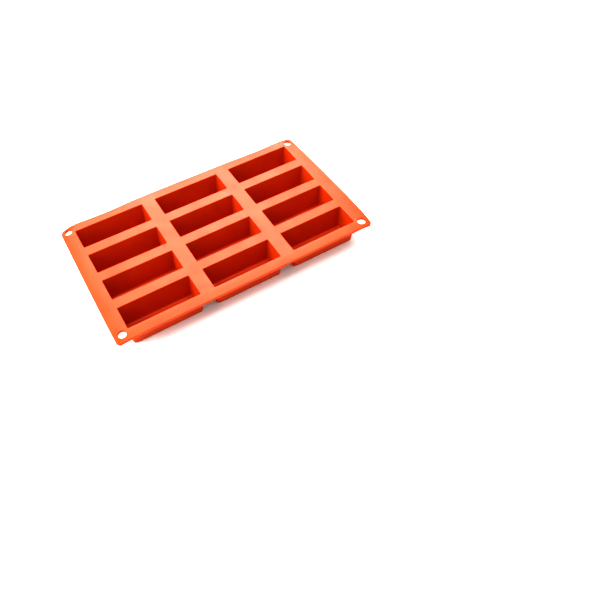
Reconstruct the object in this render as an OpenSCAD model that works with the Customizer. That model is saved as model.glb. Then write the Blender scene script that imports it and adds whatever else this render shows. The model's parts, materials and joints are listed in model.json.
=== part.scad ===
/* [Tray] */
// Length of the tray over its flange
tray_l = 300; // [298:1:312]
// Width of the tray over its flange
tray_w = 175; // [173:1:185]
// Height from the table to the top of the deck
tray_h = 31; // [22:0.5:45]
// Thickness of the deck between the cups
sheet_t = 1.5; // [1.2:0.1:2.0]
// Radius of the four flange corners in plan
flange_corner_r = 4.5; // [3:0.5:6]
// Width of the stiffening rim under the edge of the flange
rim_w = 5.5; // [4:0.5:6]
// How far the rim stands down from the underside of the deck
rim_drop = 1.5; // [1:0.1:2.5]

/* [Cups] */
// Length of a cup's mouth, measured inside
mouth_l = 79; // [70:0.5:79]
// Width of a cup's mouth, measured inside
mouth_w = 28.5; // [20:0.5:29]
// Distance between the centres of neighbouring columns
column_pitch = 95; // [94:1:97]
// Distance between the centres of neighbouring rows
row_pitch = 41; // [38:0.5:42]
// Thickness of a cup's walls
wall_t = 1.5; // [1.2:0.1:1.8]
// Thickness of a cup's floor
floor_t = 1.5; // [1.2:0.1:2.5]
// How far each wall leans in from the mouth down to the floor
wall_lean = 2; // [0.5:0.1:2.5]
// Radius of the upright corners inside a cup
inner_corner_r = 1; // [0.5:0.1:1.5]

/* [Hanging holes] */
// Diameter of the hole at each corner of the flange
hole_d = 8.5; // [5:0.5:9]
// Outer diameter of the thick ring round each hole
eyelet_d = 12.6; // [12:0.1:12.8]
// Distance of a hole's centre from both edges of the flange
hole_inset = 8.5; // [8:0.1:8.6]

/* [Flex webs] */
// Width of each strip of deck that bends between two columns of cups
web_w = 8; // [4:0.5:9]

/* [Hidden] */
// Columns run from left to right and rows from back to front.
// Each name holds its column and its row, with row 1 at the back.

// Colours of the silicone: the flange, the bending strips and the cups
deck_colour = "#f4713f";
web_colour = "#ff9160";
rim_colour = "#e4572a";
eyelet_colour = "#ffa27a";
wall_colour = "#d93a17";
floor_colour = "#b92c10";

rows = [1 : 4];
columns = ["left", "middle", "right"];

deck_z = tray_h - sheet_t;
web_x = column_pitch / 2;
web_inner_x = web_x - web_w / 2;
web_outer_x = web_x + web_w / 2;
hole_x = tray_l / 2 - hole_inset;
hole_y = tray_w / 2 - hole_inset;
outer_corner_r = inner_corner_r + wall_t;

// Thickness of the disc that marks one corner of a tapered block
disc_t = 0.01;

// How far a cut runs past the faces that it opens
cut_over = 1;

// Smallest radius of an outline that has been drawn in
min_r = 0.5;

// Roundness of the true arcs and of the corners of leaning blocks
$fn = 48;
hull_fn = 32;

// Place of a column, counted from the middle one
function column_x(column) = column_pitch * (search([column], columns)[0] - 1);

// Place of a row, counted from the back
function row_y(row) = row_pitch * (2.5 - row);

// How far a wall has leant in at the height z above the table
function lean(z) = wall_lean * (1 - z / deck_z);

// Rectangle with round corners, about the origin
module round_rect(l, w, r) {
    square([l - 2 * r, w], center = true);
    square([l, w - 2 * r], center = true);
    for (x = [-1, 1], y = [-1, 1])
        translate([x * (l / 2 - r), y * (w / 2 - r)]) circle(r = r);
}

// Outline of the tray in plan, drawn in by inset on every side
module tray_outline(inset = 0) {
    round_rect(tray_l - 2 * inset, tray_w - 2 * inset, max(flange_corner_r - inset, min_r));
}

// Everything in plan between two places along the tray's length
module between_x(from_x, to_x) {
    translate([from_x, -tray_w]) square([to_x - from_x, 2 * tray_w]);
}

// The mouths of one column of cups in plan
module mouths(x) {
    for (row = rows)
        translate([x, row_y(row)]) round_rect(mouth_l, mouth_w, inner_corner_r);
}

// The four rings round the hanging holes in plan
module eyelet_discs() {
    for (x = [-hole_x, hole_x], y = [-hole_y, hole_y])
        translate([x, y]) circle(d = eyelet_d);
}

// One third of the flat deck, with the mouths of its cups
module deck(from_x, to_x, column) {
    color(deck_colour)
    translate([0, 0, deck_z])
    linear_extrude(sheet_t)
    difference() {
        intersection() {
            tray_outline();
            between_x(from_x, to_x);
        }
        mouths(column_x(column));
        eyelet_discs();
    }
}

// The thick band that stiffens the edge of the flange from below
module rim(from_x, to_x) {
    color(rim_colour)
    translate([0, 0, deck_z - rim_drop])
    linear_extrude(rim_drop)
    difference() {
        intersection() {
            tray_outline();
            between_x(from_x, to_x);
        }
        tray_outline(rim_w);
        eyelet_discs();
    }
}

// The middle third's rim, at the front (side -1) or at the back (side 1)
module middle_rim(side) {
    color(rim_colour)
    translate([-web_inner_x, side * tray_w / 2 - (side + 1) / 2 * rim_w, deck_z - rim_drop])
    cube([2 * web_inner_x, rim_w, rim_drop]);
}

// The strip that bends between two columns, with the rim's two short ends below it
module flex_web(from_x) {
    color(web_colour) {
        translate([from_x, -tray_w / 2, deck_z]) cube([web_w, tray_w, sheet_t]);
        for (y = [-tray_w / 2, tray_w / 2 - rim_w])
            translate([from_x, y, deck_z - rim_drop]) cube([web_w, rim_w, rim_drop]);
    }
}

// A thick ring with the hanging hole through it
module eyelet(x, y) {
    color(eyelet_colour)
    translate([x, y, deck_z - rim_drop])
    difference() {
        cylinder(d = eyelet_d, h = sheet_t + rim_drop);
        translate([0, 0, -cut_over]) cylinder(d = hole_d, h = sheet_t + rim_drop + 2 * cut_over);
    }
}

// A block from z0 up to z1 whose sides lean as a cup's do, grown on each side by grow
module leaning_block(z0, z1, grow, r) {
    hull()
        for (z = [z0, z1 - disc_t], x = [-1, 1], y = [-1, 1])
            translate([
                x * (mouth_l / 2 - lean(z) + grow - r),
                y * (mouth_w / 2 - lean(z) + grow - r),
                z
            ]) cylinder(r = r, h = disc_t, $fn = hull_fn);
}

// The four walls of one cup, from the table up to the underside of the deck
module cup_wall(column, row) {
    color(wall_colour)
    translate([column_x(column), row_y(row), 0])
    difference() {
        leaning_block(0, deck_z, wall_t, outer_corner_r);
        leaning_block(-cut_over, deck_z + cut_over, 0, inner_corner_r);
    }
}

// The floor of one cup, level with the foot of its walls
module cup_floor(column, row) {
    color(floor_colour)
    translate([column_x(column), row_y(row), 0])
    linear_extrude(floor_t)
    round_rect(mouth_l - 2 * wall_lean, mouth_w - 2 * wall_lean, inner_corner_r);
}

deck(-tray_l, -web_outer_x, "left");  // deck_left
deck(-web_inner_x, web_inner_x, "middle");  // deck_middle
deck(web_outer_x, tray_l, "right");  // deck_right

flex_web(-web_outer_x);  // flex_web_left
flex_web(web_inner_x);  // flex_web_right

rim(-tray_l, -web_outer_x);  // rim_left
middle_rim(-1);  // rim_front
middle_rim(1);  // rim_back
rim(web_outer_x, tray_l);  // rim_right

eyelet(-hole_x, hole_y);  // eyelet_back_left
eyelet(-hole_x, -hole_y);  // eyelet_front_left
eyelet(hole_x, hole_y);  // eyelet_back_right
eyelet(hole_x, -hole_y);  // eyelet_front_right

for (column = columns, row = rows) {
    cup_wall(column, row);
    cup_floor(column, row);
}
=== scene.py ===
import json
import math

import bmesh
import bpy
import numpy as np
from mathutils import Matrix, Vector


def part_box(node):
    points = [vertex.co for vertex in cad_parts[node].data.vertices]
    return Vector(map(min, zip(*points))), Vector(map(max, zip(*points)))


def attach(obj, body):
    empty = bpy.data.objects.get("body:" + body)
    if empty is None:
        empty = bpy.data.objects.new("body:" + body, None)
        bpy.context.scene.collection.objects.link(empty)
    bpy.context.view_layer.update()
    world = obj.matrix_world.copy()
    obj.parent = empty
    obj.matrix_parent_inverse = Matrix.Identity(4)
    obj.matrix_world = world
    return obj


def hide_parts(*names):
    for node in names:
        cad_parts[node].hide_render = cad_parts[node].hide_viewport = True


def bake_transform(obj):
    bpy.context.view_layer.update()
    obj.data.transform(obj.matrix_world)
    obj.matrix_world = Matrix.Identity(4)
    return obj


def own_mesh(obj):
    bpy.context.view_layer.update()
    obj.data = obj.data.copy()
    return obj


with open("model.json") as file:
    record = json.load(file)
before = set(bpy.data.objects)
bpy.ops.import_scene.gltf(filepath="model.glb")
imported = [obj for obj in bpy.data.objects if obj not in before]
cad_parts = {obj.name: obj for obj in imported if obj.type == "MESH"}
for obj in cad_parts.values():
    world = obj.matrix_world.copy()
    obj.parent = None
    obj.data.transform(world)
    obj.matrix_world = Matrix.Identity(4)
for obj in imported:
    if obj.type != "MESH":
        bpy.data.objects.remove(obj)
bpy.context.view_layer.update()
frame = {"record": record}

# ------------------------------------------------------------------ table, light and camera
# A white table in a white light tent. Light comes softly from all round, with a large
# softbox behind on the right, one low on the left and one overhead, so shadows are soft.

MM = 0.001
TABLE_COLOUR = "#f4f3f1"
TABLE_HALF = 6.0
TENT_COLOUR = (1.0, 0.99, 0.975, 1.0)  # linear, a trace warmer than white
TENT_STRENGTH = 0.8


def linear(hex_colour):
    """The linear RGBA of an sRGB hex value: the power curve of sRGB, undone channel by channel."""
    srgb = np.array([int(hex_colour[i : i + 2], 16) for i in (1, 3, 5)]) / 255
    low = srgb / 12.92
    high = ((srgb + 0.055) / 1.055) ** 2.4
    return (*np.where(srgb <= 0.04045, low, high).tolist(), 1.0)


def add(tree, kind, settings=None, **sockets):
    """Adds a node, sets its properties, and sets or links its input sockets. A socket is called
    by its name, with __ for a space, or by _ and its place where names repeat."""
    node = tree.nodes.new(kind)
    for name, value in (settings or {}).items():
        setattr(node, name, value)
    for name, value in sockets.items():
        socket = node.inputs[int(name[1:]) if name[0] == "_" else name.replace("__", " ")]
        if isinstance(value, bpy.types.NodeSocket):
            tree.links.new(value, socket)
        else:
            socket.default_value = value
    return node


def new_material(name):
    """An empty node material, and the tree to build it in."""
    material = bpy.data.materials.new(name)
    material.use_nodes = True
    material.node_tree.nodes.clear()
    return material, material.node_tree


# Matt white laminate: an even white with no gloss, so the mould's own colour leads.
laminate, tree = new_material("white laminate, matt")
shader = add(tree, "ShaderNodeBsdfPrincipled", Base__Color=linear(TABLE_COLOUR), Roughness=0.85)
add(tree, "ShaderNodeOutputMaterial", Surface=shader.outputs["BSDF"])

table_mesh = bpy.data.meshes.new("table")
table_plan = np.array([(-1, -1), (1, -1), (1, 1), (-1, 1)]) * TABLE_HALF
table_mesh.from_pydata([(x, y, 0) for x, y in table_plan.tolist()], [], [(0, 1, 2, 3)])
table_mesh.materials.append(laminate)
table = bpy.data.objects.new("table", table_mesh)
bpy.context.scene.collection.objects.link(table)

world = bpy.data.worlds.new("light tent")
world.use_nodes = True
world.node_tree.nodes.clear()
tent = add(world.node_tree, "ShaderNodeBackground", Color=TENT_COLOUR, Strength=TENT_STRENGTH)
add(world.node_tree, "ShaderNodeOutputWorld", Surface=tent.outputs["Background"])
bpy.context.scene.world = world


def softbox(name, place, side, watts):
    """A square area light at place, facing the middle of the table."""
    lamp = bpy.data.lights.new(name, "AREA")
    lamp.size = side
    lamp.energy = watts
    light = bpy.data.objects.new(name, lamp)
    light.location = place
    light.rotation_mode = "QUATERNION"
    light.rotation_quaternion = (-Vector(place)).to_track_quat("-Z", "Y")
    bpy.context.scene.collection.objects.link(light)


softbox("softbox_back", place=(0.33, 0.95, 0.98), side=0.9, watts=24.0)
softbox("softbox_left", place=(-1.15, 0.1, 0.7), side=0.8, watts=18.0)
softbox("softbox_top", place=(0.1, 0.0, 1.2), side=0.8, watts=8.5)

# A hard tone curve, as in a catalogue picture: the deck goes pale and the cups go deep.
bpy.context.scene.view_settings.view_transform = "Standard"
bpy.context.scene.view_settings.look = "Very High Contrast"

CAMERA_AIM = Vector((26.0, -135.8, 31.0)) * MM
CAMERA_AZIMUTH = math.radians(31.6)
CAMERA_ELEVATION = math.radians(53.66)
CAMERA_ROLL = math.radians(-0.39)
CAMERA_DISTANCE = 601.3 * MM
CAMERA_LENS = 35.82
CAMERA_SENSOR = 36.0

level = math.cos(CAMERA_ELEVATION)
look = Vector(
    (
        math.sin(CAMERA_AZIMUTH) * level,
        math.cos(CAMERA_AZIMUTH) * level,
        -math.sin(CAMERA_ELEVATION),
    )
)
camera_data = bpy.data.cameras.new("camera")
camera_data.lens = CAMERA_LENS
camera_data.sensor_width = CAMERA_SENSOR
camera_data.clip_start = 10 * MM
camera = bpy.data.objects.new("camera", camera_data)
bpy.context.scene.collection.objects.link(camera)
camera.rotation_mode = "QUATERNION"
turn = look.to_track_quat("-Z", "Y").to_matrix() @ Matrix.Rotation(CAMERA_ROLL, 3, "Z")
camera.rotation_quaternion = turn.to_quaternion()
camera.location = CAMERA_AIM - look * CAMERA_DISTANCE
bpy.context.scene.camera = camera

# ------------------------------------------------------------------ silicone
# The whole mould is one silicone moulding, cured in a steel tool. The tool's walls are
# blasted, which leaves a fine satin grain, and the rubber holds pigment all through.

BODY_COLOUR = "#af3f11"
DEEP_COLOUR = "#a73b0f"
SATIN = (0.38, 0.47)  # roughness from thin to dense pigment
CLOUD = 22 * MM  # how far apart the thin and the dense patches of pigment lie
GRAIN = 0.45 * MM  # the real grain is near 0.05 mm; drawn coarse enough to show
GRAIN_DEPTH = 0.06 * MM
SWELL = 28 * MM  # how far apart the slow swells of a hand-flexed sheet lie
SWELL_DEPTH = 0.5 * MM


def silicone(name):
    """Pigment that clouds a little and roughness that follows it, with a fine grain on slow swells
    in the surface: each is noise at its own scale."""
    material, tree = new_material(name)
    place = add(tree, "ShaderNodeTexCoord").outputs["Object"]
    cloud = add(
        tree,
        "ShaderNodeTexNoise",
        Vector=place,
        Scale=1 / CLOUD,
        Detail=3.0,
        Roughness=0.55,
    ).outputs["Fac"]
    density = add(tree, "ShaderNodeMapRange", Value=cloud, From__Min=0.35, From__Max=0.65)
    colour = add(
        tree,
        "ShaderNodeMix",
        {"data_type": "RGBA"},
        _0=density.outputs["Result"],
        _6=linear(BODY_COLOUR),
        _7=linear(DEEP_COLOUR),
    ).outputs[2]
    roughness = add(
        tree,
        "ShaderNodeMapRange",
        Value=cloud,
        From__Min=0.3,
        From__Max=0.7,
        To__Min=SATIN[0],
        To__Max=SATIN[1],
    ).outputs["Result"]
    swell = add(tree, "ShaderNodeTexNoise", Vector=place, Scale=1 / SWELL, Detail=1.0)
    grain = add(tree, "ShaderNodeTexNoise", Vector=place, Scale=1 / GRAIN, Detail=2.0)
    swell_bump = add(
        tree,
        "ShaderNodeBump",
        Strength=0.5,
        Distance=SWELL_DEPTH,
        Height=swell.outputs["Fac"],
    )
    grain_bump = add(
        tree,
        "ShaderNodeBump",
        Strength=0.12,
        Distance=GRAIN_DEPTH,
        Height=grain.outputs["Fac"],
        Normal=swell_bump.outputs["Normal"],
    )
    shader = add(
        tree,
        "ShaderNodeBsdfPrincipled",
        Base__Color=colour,
        Roughness=roughness,
        IOR=1.41,
        Specular__IOR__Level=0.33,
        Normal=grain_bump.outputs["Normal"],
    )
    add(tree, "ShaderNodeOutputMaterial", Surface=shader.outputs["BSDF"])
    return material


# Satin moulded silicone: a broad, soft sheen with no sharp reflections, which makes flat
# faces pale under the softboxes, over a deep orange red that darkens inside the cups.
rubber = silicone("silicone rubber, satin moulded")

# ------------------------------------------------------------------ deck, rim and eyelets
# The flat sheet round the mouths, with the thick rim below its edge and a thick ring round
# each hanging hole, moulded as one. It is 1.5 mm thick, and 3 mm at the rim and the rings.

ROWS = (1, 2, 3, 4)
COLUMNS = ("left", "middle", "right")

deck_low, deck_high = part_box("deck_right")
rim_low, rim_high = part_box("rim_back")
web_low, web_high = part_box("flex_web_right")
eye_low, eye_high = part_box("eyelet_back_right")
holes = next(m for m in frame["record"]["mounts"] if m["name"] == "corner_holes")

TOP_Z = deck_high.z
SHEET_Z = deck_low.z
RIM_Z = rim_low.z
HALF_L = deck_high.x
HALF_W = deck_high.y
RIM_X = HALF_L - (rim_high.y - rim_low.y)
RIM_Y = rim_low.y
EYE = (eye_low + eye_high) / 2
EYE_R = (eye_high.x - eye_low.x) / 2
HOLE_R = holes["dims"]["hole_r_mm"] * MM
WALL = 1.5 * MM
MOUTH_R = 1.0 * MM
FLANGE_R = 4.5 * MM
EDGE_INSET = 1.2 * MM  # the flat top and underside end this far inside the flange's edge
EDGE_R = 0.9 * MM
LIP_R = 0.25 * MM
LIP_BAND = 0.6 * MM  # the lip's own ring of faces round a mouth is this wide
HOLE_EDGE_R = 0.35 * MM
STEP = 0.3 * MM  # how much room the moulded step at the rim and the rings takes
BLOCK_Y = 71.0 * MM  # the block round a hanging hole starts here, and at BLOCK_X
TINY = 1e-6  # numbers closer than this are the same
WELD = 0.002 * MM  # points closer than this are one
CRISP = math.radians(42)  # faces that meet at more than this keep a crisp edge

CORNER_POINTS = 9  # points along a corner of the flange in plan
EDGE_POINTS = 7  # along each rounding of the flange's edge
LIP_POINTS = 6  # and of a lip or a hole's edge

mouths = {}
for column in COLUMNS:
    for row in ROWS:
        low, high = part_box(f"cup_wall_{column}_{row}")
        mouths[column, row] = (low + high) / 2
low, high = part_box("cup_wall_right_1")
MOUTH_HALF_L = (high.x - low.x) / 2 - WALL
MOUTH_HALF_W = (high.y - low.y) / 2 - WALL
BLOCK_X = mouths["right", 1].x + MOUTH_HALF_L + LIP_BAND

# How the limp flange lies. Past these two places it hangs free of the cups.
FREE_X = 138.0 * MM
FREE_Y = 78.0 * MM
LEFT_FALL = 0.7 * MM
RIGHT_FALL = 0.2 * MM
RIGHT_FRONT_FALL = 1.1 * MM  # the right edge falls this much more at its front end
FRONT_FALL = 0.75 * MM
FRONT_TILT = 0.3 * MM  # the front edge falls this much more at its left end, less at its right
BACK_LIFT = 0.4 * MM
BACK_SAG_LEFT = 2.0 * MM  # the back edge sags by this in the middle of an outer column
BACK_SAG_RIGHT = 1.3 * MM
SAG_PLACE = 0.65  # where a sag is deepest, and how wide it is, as shares of the half length
SAG_WIDTH = 0.2
LEFT_BOW = (-0.55 * MM, 1.6, 0.75)  # how far an edge bows out, and its cosine's pace and shift
RIGHT_BOW = (2.1 * MM, 1.3, 0.62)
FRONT_BOW = -0.4 * MM
BACK_BOW = 0.2 * MM
CURL = 25.0 * MM  # how far from its tip, along x and y together, a corner starts to curl down
CORNER_FALL = {
    (-1, -1): 1.2 * MM,
    (-1, 1): 5.5 * MM,
    (1, 1): 1.8 * MM,
    (1, -1): 1.4 * MM,
}
TUCK = 0.05  # how far a curled corner draws in, as a share of its fall
WAVE = 0.14 * MM  # height of the slow waves in the deck, and their paces and phases
WAVE_X, PHASE_X = 31 * MM, 0.7
WAVE_Y, PHASE_Y = 27 * MM, -0.4


def past(place, start, end):
    """How far a place is past start on its way to end, from 0 to 1, on both sides alike."""
    return np.clip((np.abs(place) - start) / (end - start), 0, 1)


def settle(points):
    """How the limp sheet lies, as a shift of each point.
    Down: the short edges fall with the square of the way past the cups. The right one falls more
    towards the front, with the cube of the way there times the power 1.2 of the way out. The
    front edge falls with the power 1.3 of it and tilts. The back edge rises with the square,
    less two bell curves, one over each outer column. Each corner falls with the square of the
    way out to its tip, and draws in as it falls.
    Out: the short edges bow by part of a cosine wave and the back one by half a wave, and the
    front one moves out evenly. The deck has slow waves, a sine along x times a cosine along y."""
    x, y = points[:, 0], points[:, 1]
    u, v = x / HALF_L, y / HALF_W
    over_x, over_y = past(x, FREE_X, HALF_L), past(y, FREE_Y, HALF_W)

    to_front = np.clip(-v, 0, 1) ** 3
    right = RIGHT_FALL * over_x**2 + RIGHT_FRONT_FALL * to_front * over_x**1.2
    ends = np.where(x < 0, LEFT_FALL * over_x**2, right)
    bell = np.exp(-(((np.abs(u) - SAG_PLACE) / SAG_WIDTH) ** 2))
    sag = np.where(u < 0, BACK_SAG_LEFT, BACK_SAG_RIGHT) * bell - BACK_LIFT
    front = (FRONT_FALL - FRONT_TILT * u) * over_y**1.3
    sides = np.where(y < 0, front, sag * over_y**2)

    to_tip = np.clip((np.abs(x) - HALF_L + np.abs(y) - HALF_W) / CURL + 1, 0, 1)
    corners = np.zeros_like(x)
    for (side_x, side_y), fall in CORNER_FALL.items():
        corners += np.where((x * side_x > 0) & (y * side_y > 0), fall * to_tip**2, 0)

    waves = WAVE * np.sin(x / WAVE_X + PHASE_X) * np.cos(y / WAVE_Y + PHASE_Y)
    bows = [bow * np.cos(pace * (v + shift)) for bow, pace, shift in (LEFT_BOW, RIGHT_BOW)]
    out_x = np.where(x < 0, *bows) * over_x - TUCK * corners * np.sign(x)
    bow_y = np.where(y < 0, FRONT_BOW, BACK_BOW * np.cos(np.pi / 2 * u))
    out_y = bow_y * over_y - TUCK * corners * np.sign(y)
    return np.stack([out_x, out_y, waves - ends - sides - corners], axis=-1)


def quads(rows, columns, wrap=False):
    """Corner indices of the faces of a grid that was flattened row by row. wrap joins the last
    row to the first."""
    i = np.arange(rows if wrap else rows - 1)[:, None]
    j = np.arange(columns - 1)[None, :]
    after = (i + 1) % rows
    corners = (i * columns + j, after * columns + j, after * columns + j + 1, i * columns + j + 1)
    return np.stack(np.broadcast_arrays(*corners), axis=-1).reshape(-1, 4)


def carried(plan, height, wrap):
    """A surface patch: plan holds (place on the path, place in the profile, xy), and height the
    z of each place in the profile, or of each point."""
    z = np.broadcast_to(height, plan.shape[:2])[:, :, None]
    points = np.concatenate([plan, z], axis=-1)
    return points.reshape(-1, 3), quads(*plan.shape[:2], wrap)


def solid(name, patches):
    """Joins the patches where their edges meet into one closed mesh, with its faces turned
    outwards."""
    starts = np.cumsum([0] + [len(points) for points, _ in patches[:-1]])
    points = np.concatenate([points for points, _ in patches])
    faces = np.concatenate([faces + start for (_, faces), start in zip(patches, starts)])
    mesh = bpy.data.meshes.new(name)
    mesh.from_pydata(points.tolist(), [], faces.tolist())
    work = bmesh.new()
    work.from_mesh(mesh)
    bmesh.ops.remove_doubles(work, verts=work.verts, dist=WELD)
    bmesh.ops.delete(work, geom=[v for v in work.verts if not v.link_faces], context="VERTS")
    bmesh.ops.holes_fill(work, edges=[e for e in work.edges if e.is_boundary], sides=0)
    bmesh.ops.recalc_face_normals(work, faces=work.faces)
    work.to_mesh(mesh)
    work.free()
    return mesh


def finished(name, mesh):
    """Shades a mesh smooth up to its sharp edges, makes it rubber and puts it in the scene."""
    mesh.shade_smooth()
    mesh.set_sharp_from_angle(angle=CRISP)
    mesh.materials.append(rubber)
    piece = bpy.data.objects.new(name, mesh)
    bpy.context.scene.collection.objects.link(piece)
    return piece


def arc(radius, start, end, count):
    """Points (across, up) of an arc about the origin, from one angle in degrees to another."""
    angle = np.radians(np.linspace(start, end, count))
    return radius * np.cos(angle), radius * np.sin(angle)


def row_of(xs, ys):
    """Points in plan from x and y, of which either may be one number."""
    return np.stack(np.broadcast_arrays(xs, ys), axis=-1)


def outward_of(points, core_half):
    """The nearest point of a rectangle about the origin to each point, and the way out from it."""
    core = np.clip(points, -core_half, core_half)
    out = points - core
    return core, out / np.linalg.norm(out, axis=1, keepdims=True)


def spaced(way):
    """Coordinates from 0 through each stop of way, which holds (stop, step): even steps of at
    most that size lead up to the stop."""
    parts, last = [], 0.0
    for stop, step in way:
        parts.append(np.linspace(last, stop, max(1, math.ceil((stop - last) / step - TINY)) + 1))
        last = stop
    return np.unique(np.round(np.concatenate(parts), 7))


LONG_STEP = 4.0 * MM  # grid steps: along a mouth
ROW_STEP = 2.0 * MM  # between two rows
NEAR_STEP = 1.0 * MM  # beside an edge
WEB_STEP = 0.5 * MM  # across a web, where the sheet bends
MARGIN_STEP = 0.9 * MM
RIM_STEP = 1.1 * MM


def deck_lines():
    """The two sets of grid lines of the right half. They pass every edge in plan and crowd where
    the sheet bends."""
    half, r, band = MOUTH_HALF_L, MOUTH_R, LIP_BAND
    far = mouths["right", 1].x
    x_lines = spaced(
        [
            (half - r, LONG_STEP),
            (half, NEAR_STEP),
            (half + band, NEAR_STEP),
            (web_low.x, NEAR_STEP),
            (web_high.x, WEB_STEP),
            (far - half - band, NEAR_STEP),
            (far - half, NEAR_STEP),
            (far - half + r, NEAR_STEP),
            (far + half - r, LONG_STEP),
            (far + half, NEAR_STEP),
            (far + half + band, NEAR_STEP),
            (RIM_X - STEP, MARGIN_STEP),
            (RIM_X, NEAR_STEP),
            (HALF_L - EDGE_INSET, RIM_STEP),
        ]
    )
    half = MOUTH_HALF_W
    near, far = mouths["right", 2].y, mouths["right", 1].y
    y_lines = spaced(
        [
            (near - half - band, ROW_STEP),
            (near - half, NEAR_STEP),
            (near - half + r, NEAR_STEP),
            (near + half - r, LONG_STEP),
            (near + half, NEAR_STEP),
            (near + half + band, NEAR_STEP),
            (far - half - band, ROW_STEP),
            (far - half, NEAR_STEP),
            (far - half + r, NEAR_STEP),
            (BLOCK_Y, LONG_STEP),
            (far + half - r, MARGIN_STEP),
            (far + half, NEAR_STEP),
            (far + half + band, NEAR_STEP),
            (RIM_Y - STEP, MARGIN_STEP),
            (RIM_Y, NEAR_STEP),
            (HALF_W - EDGE_INSET, RIM_STEP),
        ]
    )
    return x_lines, np.unique(np.concatenate([-y_lines, y_lines]))


def flat_patches(x_lines, y_lines):
    """Top and underside between the mouths and the corner blocks: a grid of (x line, y line)
    with those faces left out. The underside is the rim's below the edge, the sheet's elsewhere."""
    plan = np.stack(np.meshgrid(x_lines, y_lines, indexing="ij"), axis=-1)
    faces = quads(*plan.shape[:2])
    mid_x, mid_y = plan.reshape(-1, 2)[faces].mean(axis=1).T
    keep = ~((mid_x > BLOCK_X) & (np.abs(mid_y) > BLOCK_Y))
    for centre in mouths.values():
        inside_x = np.abs(mid_x - centre.x) < MOUTH_HALF_L + LIP_BAND
        inside_y = np.abs(mid_y - centre.y) < MOUTH_HALF_W + LIP_BAND
        keep &= ~(inside_x & inside_y)
    in_rim = (plan[:, :, 0] >= RIM_X - TINY) | (np.abs(plan[:, :, 1]) >= RIM_Y - TINY)
    heights = (TOP_Z, np.where(in_rim, RIM_Z, SHEET_Z))
    return [(carried(plan, z, False)[0], faces[keep]) for z in heights]


def lip_patch(centre, x_lines, y_lines):
    """A mouth's lip: a profile of (way out from the wall, height) carried along the mouth's
    outline. Each outline point is the nearest on the round-cornered mouth to a grid point on the
    band round it. The middle column's mouths are cut in half by the tray's middle line."""
    x0, x1 = centre.x - MOUTH_HALF_L - LIP_BAND, centre.x + MOUTH_HALF_L + LIP_BAND
    y0, y1 = centre.y - MOUTH_HALF_W - LIP_BAND, centre.y + MOUTH_HALF_W + LIP_BAND
    xs = x_lines[(x_lines > x0 - TINY) & (x_lines < x1 + TINY)]
    ys = y_lines[(y_lines > y0 - TINY) & (y_lines < y1 + TINY)]
    whole = x0 > -TINY
    left = row_of(xs[0], ys[:0:-1] if whole else ys[-1:])
    front, right, back = row_of(xs[:-1], ys[0]), row_of(xs[-1], ys[:-1]), row_of(xs[:0:-1], ys[-1])
    band = np.concatenate([front, right, back, left])
    middle = np.array([centre.x, centre.y])
    core_half = np.array([MOUTH_HALF_L, MOUTH_HALF_W]) - MOUTH_R
    core, outward = outward_of(band - middle, core_half)
    wall_line = middle + core + MOUTH_R * outward
    across, up = arc(LIP_R, 90, 180, LIP_POINTS)
    away = np.concatenate([LIP_R + across, [0]])
    height = np.concatenate([[TOP_Z], TOP_Z - LIP_R + up, [SHEET_Z, SHEET_Z]])
    loops = wall_line[:, None] + away[None, :, None] * outward[:, None]
    loops = np.concatenate([band[:, None], loops, band[:, None]], axis=1)
    return carried(loops, height, whole)


def corner_arc():
    """Points of the flange's back right corner, drawn in by the edge's inset, from its right side
    to its back."""
    across, up = arc(FLANGE_R - EDGE_INSET, 0, 90, CORNER_POINTS)
    return row_of(HALF_L - FLANGE_R + across, HALF_W - FLANGE_R + up)


def eyelet_patches(x_lines, y_lines, side):
    """The corner block round a hanging hole: straight rays from the hole's centre to the block's
    edge, crossed by the hole's edge, the ring's step and the block's edge. side is 1 at the back
    and -1 at the front."""
    bend = corner_arc()
    xs = x_lines[x_lines > BLOCK_X - TINY]
    ys = y_lines[y_lines > BLOCK_Y - TINY]
    front = row_of(xs[:-1], ys[0])
    right = row_of(xs[-1], ys[ys < bend[0, 1] - TINY])
    back = row_of(xs[xs < bend[-1, 0] - TINY][::-1], ys[-1])
    left = row_of(xs[0], ys[-2:0:-1])
    edge = np.concatenate([front, right, bend, back, left])
    hub = np.array([EYE.x, EYE.y])
    ray = edge - hub
    ray /= np.linalg.norm(ray, axis=1, keepdims=True)
    loops = [hub + r * ray for r in (HOLE_R + HOLE_EDGE_R, EYE_R - STEP, EYE_R)]
    loops += [(loops[-1] + edge) / 2, edge]
    plan = np.stack(loops, axis=1)
    in_rim = (edge[:, 0] >= RIM_X - TINY) | (edge[:, 1] >= RIM_Y - TINY)
    in_ring = np.arange(len(loops)) < 2
    under = np.where(in_rim[:, None] | in_ring, RIM_Z, SHEET_Z)
    across, up = arc(HOLE_EDGE_R, 90, 180, LIP_POINTS)
    hole_r = HOLE_R + HOLE_EDGE_R + np.concatenate([across, across[::-1]])
    hole_z = np.concatenate([TOP_Z - HOLE_EDGE_R + up, RIM_Z + HOLE_EDGE_R - up[::-1]])
    hole = hub + hole_r[None, :, None] * ray[:, None]
    flip = np.array([1, side])
    surfaces = ((plan, TOP_Z), (plan, under), (hole, hole_z))
    return [carried(surface * flip, z, True) for surface, z in surfaces]


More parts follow.
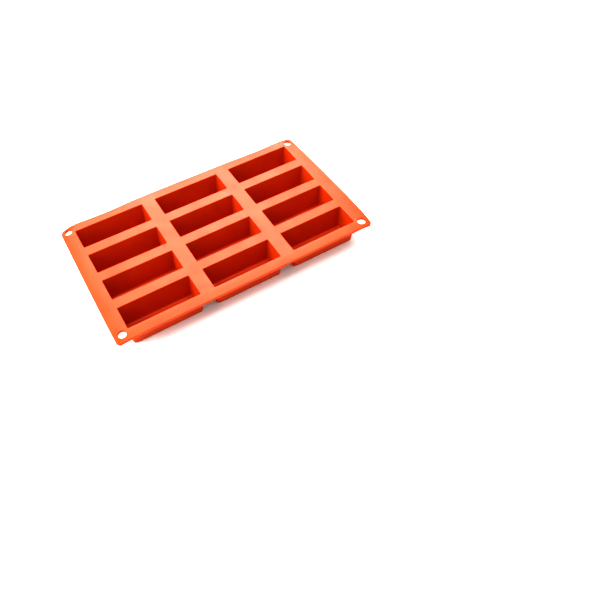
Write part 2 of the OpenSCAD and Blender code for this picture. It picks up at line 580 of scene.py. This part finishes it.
def edge_patch(x_lines, y_lines):
    """The flange's outer edge: a profile with both corners rounded, carried round the half's
    outline from its front left end to its back left end."""
    bend = corner_arc()
    xs = x_lines[x_lines < bend[-1, 0] - TINY]
    ys = y_lines[np.abs(y_lines) < bend[0, 1] - TINY]
    reach = np.array([HALF_L, HALF_W]) - EDGE_INSET
    back = row_of(xs[::-1], reach[1])
    right = row_of(reach[0], ys)
    front = np.array([1, -1])
    path = np.concatenate([back[::-1] * front, bend[::-1] * front, right, bend, back])
    _, outward = outward_of(path, reach - (FLANGE_R - EDGE_INSET))
    across, up = arc(EDGE_R, 90, 0, EDGE_POINTS)
    away = EDGE_INSET - EDGE_R + np.concatenate([across, across[::-1]])
    away = np.concatenate([[0], away, [0]])
    upper, lower = TOP_Z - EDGE_R + up, RIM_Z + EDGE_R - up[::-1]
    height = np.concatenate([[TOP_Z], upper, lower, [RIM_Z]])
    return carried(path[:, None] + away[None, :, None] * outward[:, None], height, False)


def deck_half(side):
    """One half of the deck, from the tray's middle line to its left (-1) or right (1) end."""
    x_lines, y_lines = deck_lines()
    patches = flat_patches(x_lines, y_lines)
    for column in ("middle", "right"):
        patches += [lip_patch(mouths[column, row], x_lines, y_lines) for row in ROWS]
    for end in (-1, 1):
        patches += eyelet_patches(x_lines, y_lines, end)
    patches.append(edge_patch(x_lines, y_lines))
    patches = [(points * (side, 1, 1), faces) for points, faces in patches]
    patches = [(points + settle(points), faces) for points, faces in patches]
    return solid("deck", patches)


for column, side in (("left", -1), ("right", 1)):
    deck = finished(f"deck_sheet_{column}", deck_half(side))
    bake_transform(deck)
    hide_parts("deck_middle", "rim_front", "rim_back", f"deck_{column}", f"rim_{column}")
    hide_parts(f"flex_web_{column}", f"eyelet_back_{column}", f"eyelet_front_{column}")

# ------------------------------------------------------------------ cup walls
# Four thin walls round each bar, moulded on to the underside of the deck with a fillet.
# They lean in towards the foot, so that the bar slides out.

FOOT_Z = 3.8 * MM  # where the wall passes into the rounded edge of the floor
FLARE_R = 2.3 * MM  # the fillet below the deck
OUTER_R = MOUTH_R + WALL
FOOT_PLAN_R = 3.3 * MM  # the outer corners are rounder at the foot than at the deck
BOW = 0.35 * MM  # the most that a long wall bows in or out
PATH_STEP = 3.2 * MM  # the way round a cup: steps along a side, and round a corner
BEND_STEPS = 6
INSIDE_POINTS = 11  # points down a wall's inside, up its outside and along the fillet
OUTSIDE_POINTS = 9
FLARE_POINTS = 7

floor_low, floor_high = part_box("cup_floor_right_1")
LEAN = MOUTH_HALF_L - (floor_high.x - floor_low.x) / 2
luck = np.random.default_rng(12)


def lean_in(z):
    """How far a wall has leant in at height z: from LEAN at the table evenly to 0 at the deck."""
    return LEAN * (1 - z / SHEET_Z)


def cup_path():
    """The way round a cup. Each place has a pull, which says how far it goes with the corners,
    from -1 to 1 along each axis, and the direction straight out."""
    pulls, outs = [], []
    for quarter, corner in enumerate(((1, 1), (-1, 1), (-1, -1), (1, -1))):
        along_x = quarter % 2 == 0
        angle = np.radians(90 * quarter + np.linspace(0, 90, BEND_STEPS + 1))
        pulls.append(np.broadcast_to(corner, (BEND_STEPS + 1, 2)))
        outs.append(row_of(np.cos(angle), np.sin(angle)))
        count = math.ceil(2 * (MOUTH_HALF_L if along_x else MOUTH_HALF_W) / PATH_STEP)
        way = np.linspace(0, 1, count + 1)[1:-1, None]
        onward = np.array(corner) * ((-1, 1) if along_x else (1, -1))
        pulls.append(corner + way * (onward - corner))
        outs.append(np.broadcast_to(outs[-1][-1], (count - 1, 2)))
    return np.concatenate(pulls), np.concatenate(outs)


def round_cup(section, centre):
    """A section of (way out from the mouth's wall, corner radius, height) carried round the cup.
    Each place is its pull times the half sizes less the radius, plus the radius times the way
    out. Gives the plan, the heights and the pulls."""
    pull, out = cup_path()
    away, radius, z = section.T
    half = np.array([MOUTH_HALF_L, MOUTH_HALF_W]) + away[:, None]
    radius = radius[:, None]
    plan = pull[:, None] * (half - radius) + radius * out[:, None]
    return plan + np.array([centre.x, centre.y]), z, pull


def cup_wall(centre):
    """A closed wall section: down the inside, across the foot, up the outside and out along the
    fillet. The long walls bow by a half wave along their length times a half wave up their
    height. The walls follow the deck's waves less and less, with the cube of their height."""
    flare_z = SHEET_Z - FLARE_R
    down = np.linspace(SHEET_Z, FOOT_Z, INSIDE_POINTS)
    rise = np.linspace(FOOT_Z, flare_z, OUTSIDE_POINTS)
    across, up = arc(FLARE_R, 180, 90, FLARE_POINTS)
    across, fillet = across[1:], flare_z + up[1:]
    flare = WALL - lean_in(fillet) + FLARE_R + across
    away = np.concatenate([-lean_in(down), WALL - lean_in(rise), flare, [0]])
    swept = np.interp(rise, [FOOT_Z, flare_z], [FOOT_PLAN_R, OUTER_R])
    corner = np.full(len(down), MOUTH_R)
    radius = np.concatenate([corner, swept, OUTER_R + FLARE_R + across, [MOUTH_R]])
    z = np.concatenate([down, rise, fillet, [SHEET_Z]])
    plan, z, pull = round_cup(np.stack([away, radius, z], axis=-1), centre)
    back, front = luck.uniform(-BOW, BOW, 2)
    bow = np.cos(np.pi / 2 * pull[:, :1]) * np.sin(np.pi * (z - FOOT_Z) / (SHEET_Z - FOOT_Z))
    plan[:, :, 1] += bow * np.where(pull[:, 1:] > 0, back, front)
    ring, faces = carried(plan, z, True)
    ring += settle(ring) * (ring[:, 2:] / SHEET_Z) ** 3
    return solid("cup_wall", [(ring, faces)])


for (column, row), centre in mouths.items():
    wall = finished(f"cup_walls_{column}_{row}", cup_wall(centre))
    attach(wall, column)
    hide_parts(f"cup_wall_{column}_{row}")
    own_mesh(wall)

# ------------------------------------------------------------------ cup floors
# The floor of each cup, 1.5 mm thick with a rounded foot. The mould stands on it, and a
# thumb presses it up from below to push the bar out.

FOOT_R = 3.0 * MM
FLOOR_T = floor_high.z - floor_low.z
INSIDE_R = FOOT_Z - FLOOR_T  # the fillet inside, between the floor and the walls
FOOT_POINTS = 9  # points along the foot's rounding, and along the fillet inside
FILLET_POINTS = 8
SPREAD = np.array([0, 0.3, 0.6, 0.85])[None, :, None]  # the dish's rings, as shares of its size


def cup_floor(centre):
    """A dish: its section runs from the middle out along the foot, round the edge, over the
    wall's end and back along the inside, carried round the cup. Both ends of the section are the
    dish's middle."""
    across, up = arc(FOOT_R, 270, 360, FOOT_POINTS)
    foot_away = WALL - lean_in(FOOT_R) - FOOT_R + across
    foot = np.stack([foot_away, FOOT_PLAN_R - FOOT_R + across, FOOT_R + up], axis=-1)
    wall_end = [[WALL - lean_in(FOOT_Z), FOOT_PLAN_R, FOOT_Z]]
    across, up = arc(INSIDE_R, 0, -90, FILLET_POINTS)
    inside_away = -lean_in(FOOT_Z) - INSIDE_R + across
    inside = np.stack([inside_away, np.full(len(up), MOUTH_R), FOOT_Z + up], axis=-1)
    plan, z, _ = round_cup(np.concatenate([foot, wall_end, inside]), centre)
    middle = np.array([centre.x, centre.y])
    under = middle + (plan[:, :1] - middle) * SPREAD
    cover = middle + (plan[:, -1:] - middle) * SPREAD[:, ::-1]
    rings = SPREAD.shape[1]
    z = np.concatenate([np.zeros(rings), z, np.full(rings, FLOOR_T)])
    return solid("cup_floor", [carried(np.concatenate([under, plan, cover], axis=1), z, True)])


for (column, row), centre in mouths.items():
    floor = finished(f"cup_base_{column}_{row}", cup_floor(centre))
    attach(floor, f"floor_{column}_{row}")
    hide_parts(f"cup_floor_{column}_{row}")
